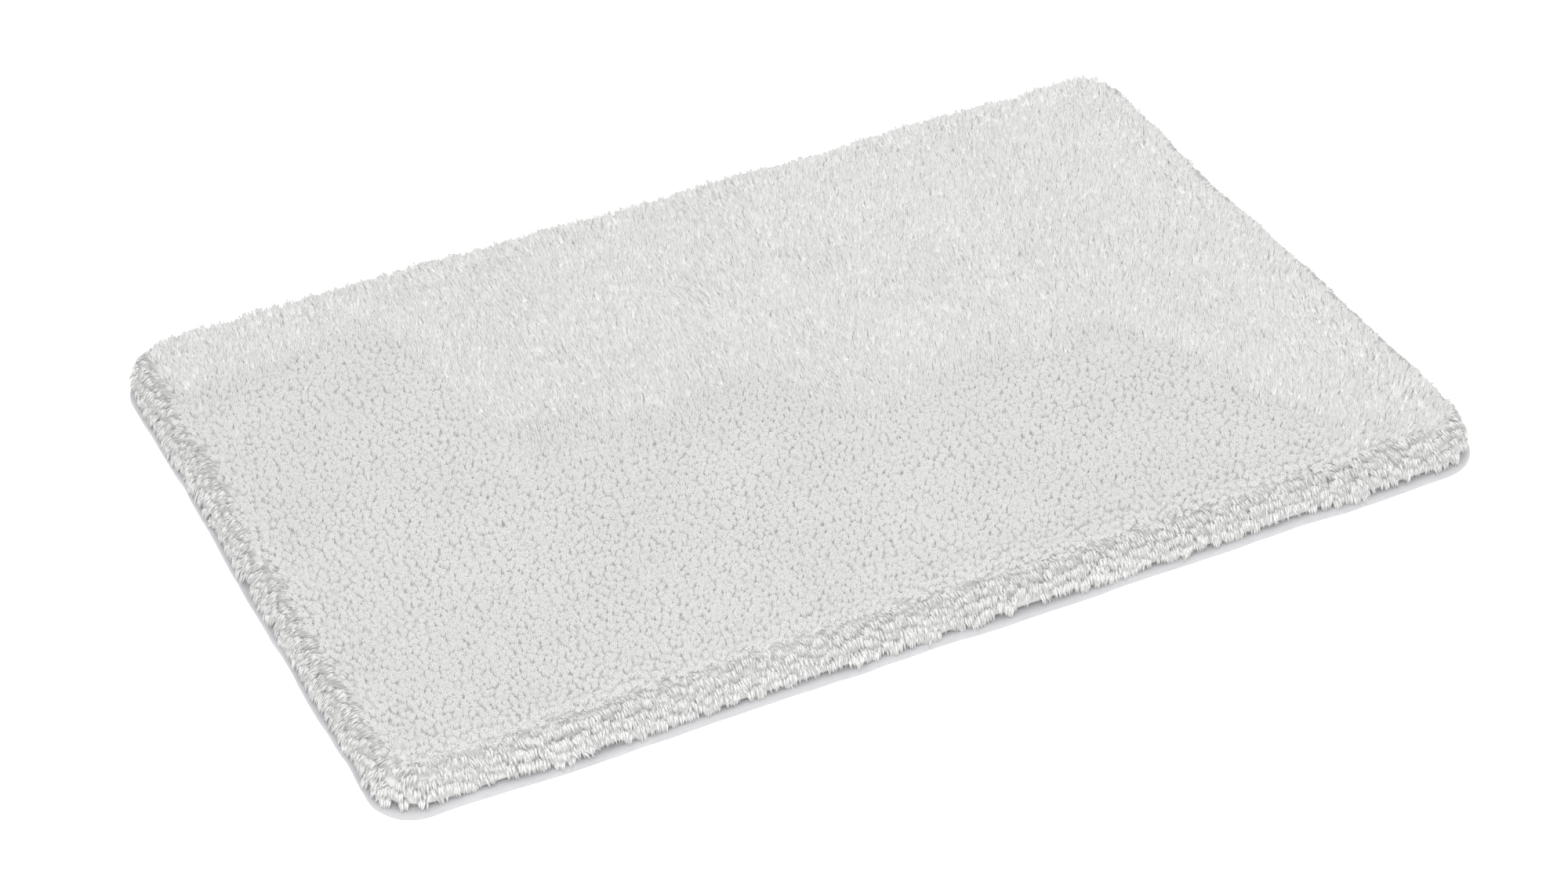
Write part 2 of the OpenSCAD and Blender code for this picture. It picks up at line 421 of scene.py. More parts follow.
def standing_fibres(curve, direction, laid, spin, rng):
    """The bundles of fibres at each tuft's end: blunt cut ends where it stands, thin ones where it lies."""
    tip = curve[3]
    n = len(tip)
    base, base_t = (v[:, 0] for v in bezier(*curve, 0.66 + 0.06 * laid[:, None]))
    side_a, side_b = (v[:, 0] for v in across(direction[:, None]))
    base_a, base_b = (v[:, 0] for v in across(base_t[:, None]))
    verts, along, lying = [], [], []
    for k in range(FIBRES):
        share = ((k + 0.5) / FIBRES) ** 0.5
        turn = spin + k * GOLDEN_TURN + rng.normal(0, 0.3, n)
        open_r = share * (2.0 + 0.2 * laid) * MM * rng.uniform(0.85, 1.15, n)
        cos_t, sin_t = np.cos(turn)[:, None], np.sin(turn)[:, None]
        start = base + 0.6 * open_r[:, None] * (cos_t * base_a + sin_t * base_b)
        length = (0.6 - 1.1 * share**2 * (1 - 0.5 * laid)) + rng.normal(0, 0.35 + 0.8 * laid, n)
        end = tip + direction * length[:, None] * MM + open_r[:, None] * (cos_t * side_a + sin_t * side_b)
        end += rng.normal(0, 0.2 * MM, (n, 3))
        roll = rng.uniform(0, 2 * math.pi, (n, 1))
        tilt = rng.normal(0, 0.5, (n, 1))
        thick = MM * rng.uniform(0.85, 1.25, (n, 1))
        lies = rng.uniform(0, 1, n) < 0.75 * laid
        lying.append(lies)
        thin, blunt = thin_bundle(start, end, tilt, thick), blunt_bundle(start, end, roll, thick)
        verts.append(np.where(lies[:, None, None], thin, blunt))
        # painted shade: the cut ends take the yarn's darker end colour, and the bundles that lie are a little
        # darker all along
        cut = np.where(lies, 0.92, 1.0)
        along.append(np.stack([np.where(lies, 0.84, 0.66), np.where(lies, 0.84, 1.0), cut, cut], 1))
    verts = np.concatenate(verts)
    flat = np.concatenate(lying).repeat(4)
    return verts.reshape(-1, 3), outward_tetrahedra(verts), np.concatenate(along).ravel(), flat


def hanging_fibres(curve, direction, spin, rng):
    """Bundles of fibres of the tufts that hang over the side: bent, flat spindles with pointed ends."""
    n = len(direction)
    side_a, side_b = facing_out(direction)
    pattern = np.array([(0, 2, 1), (0, 3, 2), (0, 1, 3), (4, 1, 2), (4, 2, 3), (4, 3, 1)])
    verts, along = [], []
    for k in range(HANGING_FIBRES):
        share = ((k + 0.5) / HANGING_FIBRES) ** 0.5
        turn = spin + k * GOLDEN_TURN + rng.normal(0, 0.3, n)
        open_r = (share * 2.5 * MM * rng.uniform(0.85, 1.15, n))[:, None]
        cos_t, sin_t = np.cos(turn)[:, None], np.sin(turn)[:, None]
        # where along the tuft's curve this bundle starts, is widest and ends
        shift = np.clip(rng.normal(0, 0.06, (n, 1)), -0.12, 0.04)
        shares = np.array([0.54, 0.78, 0.97]) + shift
        (start, centre, end), (start_t, mid_t, _) = (v.transpose(1, 0, 2) for v in bezier(*curve, shares))
        start_a, start_b = facing_out(start_t)
        mid_a, mid_b = facing_out(mid_t)
        start = start + 0.6 * open_r * (cos_t * start_a + sin_t * start_b)
        centre = centre + open_r * (1.5 * cos_t * mid_a + 0.4 * sin_t * mid_b)
        end = end + open_r * (1.1 * cos_t * side_a + 0.3 * sin_t * side_b)
        end += side_a * rng.normal(0, 0.8 * MM, (n, 1))
        end[:, 2] = np.maximum(end[:, 2], FLOOR_GAP)
        thick = MM * rng.uniform(0.75, 1.1, (n, 1))
        tilt = rng.normal(0, 0.2, (n, 1))
        wide = 1.3 * thick * (np.cos(tilt) * mid_a + np.sin(tilt) * mid_b)
        ridge = 0.35 * thick * (np.cos(tilt) * mid_b - np.sin(tilt) * mid_a)
        verts.append(np.stack([start, centre + wide, centre + ridge, centre - wide, end], 1))
        # painted shade: each hanging strand's colour darkens from its start towards its outer, lit end
        along.append(np.tile([0.72, 0.86, 0.88, 0.86, 0.97], (n, 1)))
    verts = np.concatenate(verts)
    faces = repeat_faces(pattern, len(verts), 5)
    return verts.reshape(-1, 3), faces, np.concatenate(along).ravel()


def half_length(inset, from_side):
    """Half the length of the outline moved in by inset, on lines that far from a long side."""
    past = np.maximum(CORNER_R - from_side, 0)
    deep = np.maximum(CORNER_R - np.minimum(inset, from_side), 0)
    reach = np.sqrt(np.maximum(deep**2 - past**2, 0))
    half = np.where(inset < from_side, MAT_L / 2 - CORNER_R + reach, MAT_L / 2 - CORNER_R)
    return np.where(inset > CORNER_R, MAT_L / 2 - inset, half)


def pile_body(y_low, y_high):
    """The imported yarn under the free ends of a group's tufts: points and faces of a closed shell."""
    radius = ROUND_R - BODY_INSET
    turn = np.linspace(0, math.pi / 2, 9)
    rounded = BODY_INSET + radius * (1 - np.cos(turn))
    # lines across the mat, closer together where the long side is rounded
    edge_y = MAT_W / 2 - rounded
    ys = np.arange(y_low, y_high + BODY_CELL / 4, BODY_CELL)
    ys = np.concatenate([ys, [y_high], edge_y, -edge_y])
    ys = np.unique(np.clip(ys, max(y_low, -edge_y[0]), min(y_high, edge_y[0])).round(5))
    inner = np.arange(ROUND_R + BODY_CELL, MAT_L / 2, BODY_CELL)
    inset = np.concatenate([rounded, inner])[None, :]
    from_side = MAT_W / 2 - np.abs(ys[:, None])
    half = half_length(inset, from_side)
    sunk = np.clip(1 - (np.minimum(inset, from_side) - BODY_INSET) / radius, 0, 1)
    z = MAT_H - ROUND_R + (ROUND_R - BODY_DEPTH) * np.sqrt(1 - sunk**2)
    x = np.concatenate([-half, half[:, ::-1]], 1)
    z = np.concatenate([z, z[:, ::-1]], 1)
    y = np.broadcast_to(ys[:, None], x.shape)
    z = z + 0.9 * MM * smooth_noise(x, y, 90 * MM, 35)
    upper = np.stack([x, y, z], 2)
    lower = np.stack([x * (1 - 2 * BODY_TAPER / MAT_L), y, np.full(x.shape, BODY_FLOOR)], 2)
    return np.concatenate([upper.reshape(-1, 3), lower.reshape(-1, 3)]), shell_faces(*x.shape)


# A part of the pile is its points, its faces, and each point's share of the way from root to tip, or for the
# body a colour value; these set the yarn colour with its painted shade
def body_part(k):
    """The body under group k's tufts, in the painted root shade on top and a little paler down the sides,
    painted light that lifts the shade in the gaps between the hanging strands.
    """
    y_low, y_high = (-MAT_W / 2 + line * MAT_W / PILE_GROUPS for line in (k, k + 1))
    points, faces = pile_body(y_low, y_high)
    return points, faces, 0.3 * smooth_step((MAT_H - BODY_SHADE - points[:, 2]) / BODY_SHADE)


def lock_part(curve, shares, radius, spin, sides):
    """A lock of yarn along each tuft's centre line, as a closed prism."""
    n, rings = shares.shape
    points = ring_points(*bezier(*curve, shares), radius, sides, spin)
    faces = repeat_faces(prism_faces(rings, sides), n, rings * sides)
    return points.reshape(-1, 3), faces, shares.repeat(sides, 1).ravel()


def join_parts(name, parts):
    """One mesh object from parts of the pile."""
    points, faces, shares = zip(*parts)
    before = np.cumsum([0] + [len(p) for p in points])
    faces = np.concatenate([f + first for f, first in zip(faces, before)])
    obj = new_mesh_object(name, np.concatenate(points), faces)
    point_values(obj, "along", np.concatenate(shares))
    return obj


def tuft_curve(x, y, tip, direction, brushed, on_side):
    """Four control points of each tuft's centre line: it rises from its root and bends over to its tip."""
    n = len(x)
    root = np.stack([x, y, np.full(n, BASE_TOP)], 1)
    rise = np.clip(tip[:, 2] - BASE_TOP, SHORTEST_RISE, None)
    above = root + np.stack([np.zeros(n), np.zeros(n), 0.6 * rise], 1)
    bend = 8 * MM + 4 * MM * np.maximum(brushed, on_side) + 5 * MM * on_side
    return root, above, tip - direction * bend[:, None], tip


def lock_rings(brushed, on_side, rng):
    """Where the three rings of each lock are along its tuft, and their radii."""
    n = len(brushed)
    laid = np.maximum(brushed, on_side)
    shares = np.array([0.0, 0.80, 0.975])[None, :] * np.ones((n, 1))
    shares[:, 1] -= 0.05 * brushed + 0.25 * on_side
    shares[:, 2] -= 0.14 * laid + 0.20 * on_side
    radius = np.array([1.5, 1.95, 1.45])[None, :] * MM * rng.uniform(0.85, 1.15, (n, 1))
    radius[:, 1] *= 1 - 0.35 * on_side
    radius[:, 2] *= 1 - 0.65 * laid
    return shares, radius


def pile_group(name, k, x, y, rng):
    """One group of rows of tufts. Each tuft is a lock of yarn that ends in bundles of fibres."""
    tip, direction, brushed, on_side = pile_tips(x, y, rng)
    curve = tuft_curve(x, y, tip, direction, brushed, on_side)
    spin = rng.uniform(0, 2 * math.pi, len(x))
    shares, radius = lock_rings(brushed, on_side, rng)
    patchy = 0.3 * smooth_noise(x, y, 13 * MM, 46) + 0.2 * smooth_noise(x, y, 40 * MM, 49)
    hangs = on_side > 0.5 + patchy + rng.uniform(-0.15, 0.15, len(x))
    stands = ~hangs
    curve_over, curve_up = [p[hangs] for p in curve], [p[stands] for p in curve]
    over = hanging_fibres(curve_over, direction[hangs], spin[hangs], rng)
    *up, flat = standing_fibres(curve_up, direction[stands], brushed[stands], spin[stands], rng)
    obj = join_parts(name, [
        body_part(k),
        lock_part(curve_over, shares[hangs], radius[hangs], spin[hangs], THIN_SIDES),
        lock_part(curve_up, shares[stands], radius[stands], spin[stands], LOCK_SIDES),
        over,
        up,
    ])
    # the faces of the standing tufts' bundles come last, and the bundles that lie are shaded flat
    smooth = np.ones(len(obj.data.polygons), bool)
    smooth[len(smooth) - len(flat):] = ~flat
    obj.data.polygons.foreach_set("use_smooth", smooth)
    return obj


# ---------------------------------------------------------------- base, hem and label
def outline_points(step):
    """Points round the mat's outline about step metres apart, their outward normals and the length so far."""
    straight_x, straight_y = MAT_L - 2 * CORNER_R, MAT_W - 2 * CORNER_R
    points, normals = [], []
    for quarter in range(4):
        first = quarter * math.pi / 2
        out = np.array([math.cos(first), math.sin(first)])
        ahead = np.array([-math.sin(first), math.cos(first)])
        run, reach = (straight_y, MAT_L / 2) if quarter % 2 == 0 else (straight_x, MAT_W / 2)
        t = np.arange(0, run, step)[:, None] - run / 2
        points.append(out * reach + ahead * t)
        normals.append(np.repeat(out[None], len(t), 0))
        turn = first + np.arange(0, math.pi / 2, step / CORNER_R)
        normal = np.stack([np.cos(turn), np.sin(turn)], 1)
        centre = out * (reach - CORNER_R) + ahead * run / 2
        points.append(centre + CORNER_R * normal)
        normals.append(normal)
    points, normals = np.concatenate(points), np.concatenate(normals)
    gaps = np.linalg.norm(np.roll(points, -1, 0) - points, axis=1)
    return points, normals, np.concatenate([[0], np.cumsum(gaps)[:-1]])


def grid_faces(rows, cols, closed_rows=False, closed_cols=False):
    """Triangles of a grid of points, joined end to end where it is closed."""
    index = np.arange(rows * cols).reshape(rows, cols)
    if closed_rows:
        index = np.concatenate([index, index[:1]])
    if closed_cols:
        index = np.concatenate([index, index[:, :1]], 1)
    a, b, c, d = index[:-1, :-1], index[:-1, 1:], index[1:, 1:], index[1:, :-1]
    a, b, c, d = a.ravel(), b.ravel(), c.ravel(), d.ravel()
    return np.concatenate([np.stack([a, b, c], 1), np.stack([a, c, d], 1)])


def hem_profile():
    """Section of the hem as points (distance in from the outline, height), from its inner lower edge."""
    r = HEM_TOP / 2
    slot_low, slot_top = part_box("secondary_backing")[0].z - 0.05 * MM, BASE_TOP + 0.05 * MM
    turn = np.linspace(-math.pi / 2, math.pi / 2, 13)
    round_face = np.stack([r - r * np.cos(turn), r + r * np.sin(turn)], 1)
    inward = np.array([6.0, 7.4, 8.4, 9.3, 10.2, 11.2, 12.0]) * MM
    bottom = np.stack([inward[::-1], np.zeros(len(inward))], 1)
    top = np.stack([inward, np.full(len(inward), HEM_TOP)], 1)
    slot = np.array([(HEM_WIDTH, slot_top), (r, slot_top), (r, slot_low), (HEM_WIDTH, slot_low)])
    return np.concatenate([bottom, round_face, top, slot])


def hem_tape():
    """The folded tape round the edge, puffed and a little wavy, pulled in along its seam."""
    points, normals, length = outline_points(1.75 * MM)
    profile = hem_profile()
    e, z = profile[None, :, 0], profile[None, :, 1]
    x, y = points[:, :1], points[:, 1:]
    outer = np.clip(1 - e / (10 * MM), 0, 1) * np.ones_like(x)
    outer[:, -4:] = 0
    high = np.clip(z / HEM_TOP, 0, 1) * (e < HEM_WIDTH) * np.ones_like(x)
    high[:, -4:] = 0
    bulge = edge_wander(x, y) + 0.6 * MM * smooth_noise(x, y, 19 * MM, 62)
    rise = (1.2 * smooth_noise(x, y, 40 * MM, 63) + 0.5 * smooth_noise(x, y, 13 * MM, 64) + 0.5) * MM
    pucker = 0.07 * MM * np.sin(2 * math.pi * length / STITCH)[:, None]
    seam = np.exp(-((e - SEAM_INSET) / (1.3 * MM)) ** 2)
    out = -e + outer * (bulge + pucker)
    up = z + high * (rise * outer - 0.9 * MM * seam + pucker * (1 - seam))
    verts = np.stack([x + normals[:, :1] * out, y + normals[:, 1:] * out, up], 2)
    rows, cols = verts.shape[:2]
    return new_mesh_object("hem_tape", verts.reshape(-1, 3), grid_faces(rows, cols, True, True)[:, ::-1])


def seam_stitches(name, height, lift):
    """A row of lockstitches along the seam: each stitch is a closed strand that dips into the cloth."""
    points, normals, _ = outline_points(0.5 * MM)
    seam = points - normals * SEAM_INSET
    seam_length = np.concatenate([[0], np.cumsum(np.linalg.norm(np.diff(seam, axis=0), axis=1))])
    count = int(seam_length[-1] / STITCH)
    start = (np.arange(count) + 0.06) * seam_length[-1] / count
    taper = np.array([0.35, 0.85, 1, 1, 1, 0.85, 0.35])
    shares = np.linspace(0, STITCH_SHARE, len(taper))
    at = start[:, None] + shares[None, :] * STITCH
    x, y = np.interp(at, seam_length, seam[:, 0]), np.interp(at, seam_length, seam[:, 1])
    z = height + lift * (np.sin(math.pi * shares / STITCH_SHARE) ** 0.6)[None, :] * np.ones_like(x)
    line = np.stack([x, y, z], 2)
    tangent = unit(np.gradient(line, axis=1))
    radius = THREAD_R * taper[None, :] * np.ones_like(x)
    v = ring_points(line, tangent, radius, THREAD_SIDES, np.zeros(count)).reshape(-1, 3)
    faces = repeat_faces(prism_faces(len(taper), THREAD_SIDES), count, len(taper) * THREAD_SIDES)
    return new_mesh_object(name, v, faces)


def flat_grid(inset, cell):
    """Points x, y of a grid that fills the mat's outline, moved in by the inset."""
    edge = np.linspace(0, math.pi / 2, 7)
    corner = MAT_W / 2 - inset - (CORNER_R - inset) * (1 - np.sin(edge))
    ys = np.unique(np.concatenate([np.arange(0, corner[0], cell), corner]).round(5))
    ys = np.concatenate([-ys[:0:-1], ys])
    past = np.maximum(np.abs(ys) - (MAT_W / 2 - CORNER_R), 0)
    half = MAT_L / 2 - CORNER_R + np.sqrt(np.maximum((CORNER_R - inset) ** 2 - past**2, 0))
    t = np.linspace(-1, 1, int(MAT_L / cell))
    return half[:, None] * t[None, :], ys[:, None] * np.ones((1, len(t)))


def backing_layer(name, node):
    """A woven backing that fills its CAD node's height, slightly uneven."""
    low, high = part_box(node)
    x, y = flat_grid(LAYER_INSET, 6 * MM)
    ripple = 0.06 * MM * smooth_noise(x, y, 9 * MM, 71)
    return closed_layer(name, x, y, low.z + ripple + 0.06 * MM, high.z + ripple - 0.06 * MM)


def closed_layer(name, x, y, z_low, z_top):
    """A closed shell between two grids of heights over the same points."""
    rows, cols = x.shape
    upper = np.stack([x, y, z_top], 2).reshape(-1, 3)
    lower = np.stack([x, y, z_low], 2).reshape(-1, 3)
    return new_mesh_object(name, np.concatenate([upper, lower]), shell_faces(rows, cols))


def shell_faces(rows, cols):
    """Triangles of a closed shell: an upper grid, then a lower grid, joined round their rim."""
    top = np.arange(rows * cols).reshape(rows, cols)
    low = top + rows * cols
    quads = [
        (top[:-1, :-1], top[:-1, 1:], top[1:, 1:], top[1:, :-1]),
        (low[:-1, :-1], low[1:, :-1], low[1:, 1:], low[:-1, 1:]),
        (low[0, :-1], low[0, 1:], top[0, 1:], top[0, :-1]),
        (low[-1, :-1], top[-1, :-1], top[-1, 1:], low[-1, 1:]),
        (low[:-1, 0], top[:-1, 0], top[1:, 0], low[1:, 0]),
        (low[:-1, -1], low[1:, -1], top[1:, -1], top[:-1, -1]),
    ]
    faces = []
    for a, b, c, d in quads:
        a, b, c, d = a.ravel(), b.ravel(), c.ravel(), d.ravel()
        faces += [np.stack([a, b, c], 1), np.stack([a, c, d], 1)]
    return np.concatenate(faces)


def dot_centres():
    """Centres of the film's raised dots: a square grid that leaves the care label free."""
    across_x = int((MAT_L / 2 - HEM_WIDTH - DOT_D) / DOT_PITCH)
    across_y = int((MAT_W / 2 - HEM_WIDTH - DOT_D) / DOT_PITCH)
    line_x = np.arange(-across_x, across_x + 1) * DOT_PITCH
    line_y = np.arange(-across_y, across_y + 1) * DOT_PITCH
    x, y = np.meshgrid(line_x, line_y)
    low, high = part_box("care_label")
    gap = DOT_D / 2 + LABEL_GAP
    free = ~((x > low.x - gap) & (y > low.y - gap) & (y < high.y + gap))
    return x[free], y[free]


def nonslip_film():
    """The thin rubber film with its domed dots."""
    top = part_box("nonslip_film")[1].z
    film_low = top - FILM_T
    x, y = flat_grid(ROOT_INSET, 8 * MM)
    upper = np.stack([x, y, np.full(x.shape, top)], 2).reshape(-1, 3)
    lower = np.stack([x, y, np.full(x.shape, film_low)], 2).reshape(-1, 3)
    film = np.concatenate([upper, lower])
    ring_r = np.array([1.0, 0.98, 0.88, 0.62, 0.25]) * DOT_D / 2
    ring_z = np.array([film_low + 0.1 * MM, 0.55 * MM, 0.2 * MM, 0.03 * MM, 0.0])
    turn = np.arange(DOT_SIDES) * 2 * math.pi / DOT_SIDES
    cx, cy = dot_centres()
    dot_x = cx[:, None, None] + ring_r[None, :, None] * np.cos(turn)
    dot_y = cy[:, None, None] - ring_r[None, :, None] * np.sin(turn)
    dot_z = ring_z[None, :, None] * np.ones_like(dot_x)
    dots = np.stack([dot_x, dot_y, dot_z], 3).reshape(-1, 3)
    one_dot = prism_faces(len(ring_r), DOT_SIDES)
    dot_faces = repeat_faces(one_dot, len(cx), DOT_SIDES * len(ring_r))
    faces = np.concatenate([shell_faces(*x.shape), dot_faces + len(film)])
    return new_mesh_object("nonslip_film_dotted", np.concatenate([film, dots]), faces)


def care_label():
    """A blank satin label with a fold at its sewn edge and sealed long edges."""
    low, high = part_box("care_label")
    middle, half = (low.z + high.z) / 2, (high.z - low.z) / 2
    u, v = np.linspace(0, 1, 61), np.linspace(0, 1, 41)
    x = low.x + (high.x - low.x) * u[None, :] * np.ones((len(v), 1))
    y = low.y + (high.y - low.y) * v[:, None] * np.ones((1, len(u)))
    wave = 0.05 * MM * smooth_noise(x, y, 12 * MM, 81)
    seal = 1 - 0.45 * np.exp(-((np.minimum(v, 1 - v) / 0.03) ** 2))[:, None]
    seal = seal * np.sqrt(np.clip(1 - (np.maximum(u - 0.995, 0) / 0.005) ** 2, 0.1, 1))[None, :]
    thick = (half - 0.06 * MM) * seal
    return closed_layer("care_label_blank", x, y, middle + wave - thick, middle + wave + thick)


# ---------------------------------------------------------------- materials
# Two tones for each material: the lower or darker parts, then the raised or paler ones. On the woven cloth
# and the thread the darker tone lies in the hollows between threads, as painted shade
BACKING_TONES = ((0.66, 0.65, 0.60), (0.78, 0.77, 0.72))
LATEX_TONES = ((0.62, 0.61, 0.57), (0.72, 0.71, 0.67))
RUBBER_TONES = ((0.64, 0.64, 0.63), (0.72, 0.72, 0.71))
TAPE_TONES = ((0.54, 0.54, 0.56), (0.62, 0.62, 0.635))
LABEL_TONES = ((0.80, 0.80, 0.80), (0.88, 0.88, 0.88))
THREAD_TONES = ((0.74, 0.74, 0.75), (0.84, 0.84, 0.84))
# The yarn's colour along each tuft: painted shade darkens the roots, the palest tone is part of the way up,
# and painted shade darkens the lit cut ends
YARN_ROOT_SHADE = (0.72, 0.72, 0.71, 1)
YARN_PALEST = (0.93, 0.93, 0.92, 1)
YARN_CUT_END_SHADE = (0.75, 0.75, 0.742, 1)
PALEST_AT = 0.62
YARN_GLOW = 0.08


class Nodes:
    """A procedural material under construction: a Principled shader and the nodes that feed it."""

    def __init__(self, name, roughness, specular=0.5, sheen=0.0):
        self.material = bpy.data.materials.new(name)
        self.material.use_nodes = True
        self.tree = self.material.node_tree
        self.shader = self.tree.nodes["Principled BSDF"]
        self.shader.inputs["Roughness"].default_value = roughness
        self.shader.inputs["Specular IOR Level"].default_value = specular
        self.shader.inputs["Sheen Weight"].default_value = sheen
        self.place = self.tree.nodes.new("ShaderNodeTexCoord").outputs["Object"]

    def node(self, kind, **inputs):
        """A new node with its inputs set or joined."""
        node = self.tree.nodes.new(kind)
        for key, value in inputs.items():
            self.join(value, node.inputs[key.replace("_", " ")])
        return node

    def join(self, value, socket):
        """Links an output to the socket, or sets the socket to a plain value."""
        if isinstance(value, bpy.types.NodeSocket):
            self.tree.links.new(value, socket)
        else:
            socket.default_value = value

    def noise(self, size, detail=2.0):
        """Noise with features about size metres wide."""
        node = self.node("ShaderNodeTexNoise", Vector=self.place, Scale=0.5 / size, Detail=detail)
        return node.outputs["Fac"]

    def threads(self, axis, pitch):
        """Rounded ridges at every pitch metres along an axis."""
        node = self.node("ShaderNodeTexWave", Vector=self.place, Scale=math.pi / (pitch * 10), Distortion=0.0)
        node.bands_direction = axis
        return node.outputs["Fac"]

    def math(self, operation, *values):
        """The result of a sum on the values. MULTIPLY_ADD is the first times the second plus the third."""
        node = self.tree.nodes.new("ShaderNodeMath")
        node.operation = operation
        for value, socket in zip(values, node.inputs):
            self.join(value, socket)
        return node.outputs["Value"]

    def ramp(self, fac, low, high, start=0.3, end=0.7):
        """A colour from low to high as fac goes from start to end."""
        node = self.node("ShaderNodeValToRGB", Fac=fac)
        stops = node.color_ramp.elements
        stops[0].position, stops[0].color = start, (*low, 1)
        stops[1].position, stops[1].color = end, (*high, 1)
        return node.outputs["Color"]

    def finish(self, colour, height, depth, rough=None):
        """Joins the colour, the bump of that depth in metres, and the roughness."""
        self.join(colour, self.shader.inputs["Base Color"])
        bump = self.node("ShaderNodeBump", Height=height, Distance=depth, Strength=0.6)
        self.join(bump.outputs["Normal"], self.shader.inputs["Normal"])
        if rough is not None:
            self.join(rough, self.shader.inputs["Roughness"])
        return self.material


def yarn_material():
    """White polyester yarn, palest part of the way up, with painted shade that darkens it towards the roots
    and at the cut ends.
    """
    m = Nodes("pile_yarn", 0.6, 0.25, 0.1)
    # a little light of its own stands in for the light that scatters inside white fibre
    m.shader.inputs["Emission Color"].default_value = (1, 1, 0.99, 1)
    m.shader.inputs["Emission Strength"].default_value = YARN_GLOW
    along = m.tree.nodes.new("ShaderNodeAttribute")
    along.attribute_name = "along"
    # painted shade: the colour darkens from the palest part towards the roots and towards the cut ends
    ramp = m.node("ShaderNodeValToRGB", Fac=along.outputs["Fac"])
    stops = ramp.color_ramp.elements
    stops[0].position, stops[0].color = 0.0, YARN_ROOT_SHADE
    stops[1].position, stops[1].color = 1.0, YARN_CUT_END_SHADE
    stops.new(PALEST_AT).color = YARN_PALEST
    tint = m.ramp(m.noise(30 * MM), (0.97, 0.97, 0.965), (1, 1, 1))
    mix = m.node("ShaderNodeMix")
    mix.data_type = "RGBA"
    mix.blend_type = "MULTIPLY"
    m.join(1.0, mix.inputs["Factor"])
    m.join(ramp.outputs["Color"], mix.inputs["A"])
    m.join(tint, mix.inputs["B"])
    rough = m.math("MULTIPLY_ADD", m.noise(2 * MM), 0.2, 0.5)
    return m.finish(mix.outputs["Result"], m.noise(0.5 * MM, 3.0), 0.03 * MM, rough)


def cloth_material(name, tones, pitch, depth, roughness=0.8, sheen=0.15):
    """Plain woven cloth: crossed threads at the pitch, with uneven colour and painted shade in the hollows
    between the threads.
    """
    m = Nodes(name, roughness, 0.3, sheen)
    weave = m.math("MAXIMUM", m.threads("X", pitch), m.threads("Y", pitch))
    uneven = m.math("MULTIPLY", m.noise(6 * MM), 0.6)
    # painted shade: the colour darkens where the weave's bump is low, mixed with uneven tone
    fac = m.math("MULTIPLY_ADD", weave, 0.4, uneven)
    rough = m.math("MULTIPLY_ADD", m.noise(3 * MM), 0.2, roughness - 0.1)
    return m.finish(m.ramp(fac, *tones, 0.2, 0.8), weave, depth, rough)


def rubber_material(name, tones, grain, depth, roughness):
    """Rubber or latex with a fine grain and cloudy colour."""
    m = Nodes(name, roughness, 0.4)
    rough = m.math("MULTIPLY_ADD", m.noise(grain * 3), 0.25, roughness - 0.12)
    return m.finish(m.ramp(m.noise(14 * MM, 3.0), *tones), m.noise(grain, 3.0), depth, rough)


def thread_material(name):
    """Twisted polyester sewing thread, with painted shade in the grooves of its twist."""
    m = Nodes(name, 0.5, 0.4, 0.1)
    twist = m.threads("DIAGONAL", 0.5 * MM)
    rough = m.math("MULTIPLY_ADD", m.noise(2 * MM), 0.2, 0.45)
    # painted shade: the colour darkens in the twist's grooves
    return m.finish(m.ramp(twist, *THREAD_TONES), twist, 0.1 * MM, rough)


# ---------------------------------------------------------------- camera, floor and light
CAMERA_TURNS = (-23.862, 36.348, -2.564)
CAMERA_AIM = (-0.01194, -0.01866, 0)
CAMERA_DISTANCE = 3.04
CAMERA_LENS = 90.64
FLOOR_HALF = 6
FLOOR_WHITE = (0.93, 0.93, 0.93, 1)
FLOOR_GLOW = 0.42
SKY_STRENGTH = 0.63
# The name, place, size and power of each soft light
SOFTBOXES = (
    ("softbox_back", (1.1, 1.3, 2.6), 2.4, 31),
    ("softbox_front", (-1.2, -2.5, 2.9), 3.4, 79),
)


def add_camera():
    """Camera that looks down at the mat, from turns in degrees round the mat, upwards and about its view."""
    azimuth, elevation, roll = np.radians(CAMERA_TURNS)
    level = Vector((math.sin(azimuth), -math.cos(azimuth), 0))
    back = level * math.cos(elevation) + Vector((0, 0, math.sin(elevation)))
    right = Vector((math.cos(azimuth), math.sin(azimuth), 0))
    up = back.cross(right)
    rolled_right = right * math.cos(roll) + up * math.sin(roll)
    rolled_up = up * math.cos(roll) - right * math.sin(roll)
    camera = bpy.data.cameras.new("camera")
    camera.lens = CAMERA_LENS
    camera.sensor_width = 36
    obj = bpy.data.objects.new("camera", camera)
    bpy.context.scene.collection.objects.link(obj)
    turn = Matrix((rolled_right, rolled_up, back)).transposed()
    place_of_camera = Vector(CAMERA_AIM) + back * CAMERA_DISTANCE
    obj.matrix_world = Matrix.Translation(place_of_camera) @ turn.to_4x4()
    bpy.context.scene.camera = obj


def add_softbox(name, place, size, power):
    """A square area light of that size, aimed at the mat's centre."""
    light = bpy.data.lights.new(name, "AREA")
    light.shape = "SQUARE"
    light.size = size
    light.energy = power
    obj = bpy.data.objects.new(name, light)
    bpy.context.scene.collection.objects.link(obj)
    obj.location = place
    obj.rotation_euler = (-obj.location).to_track_quat("-Z", "Y").to_euler()


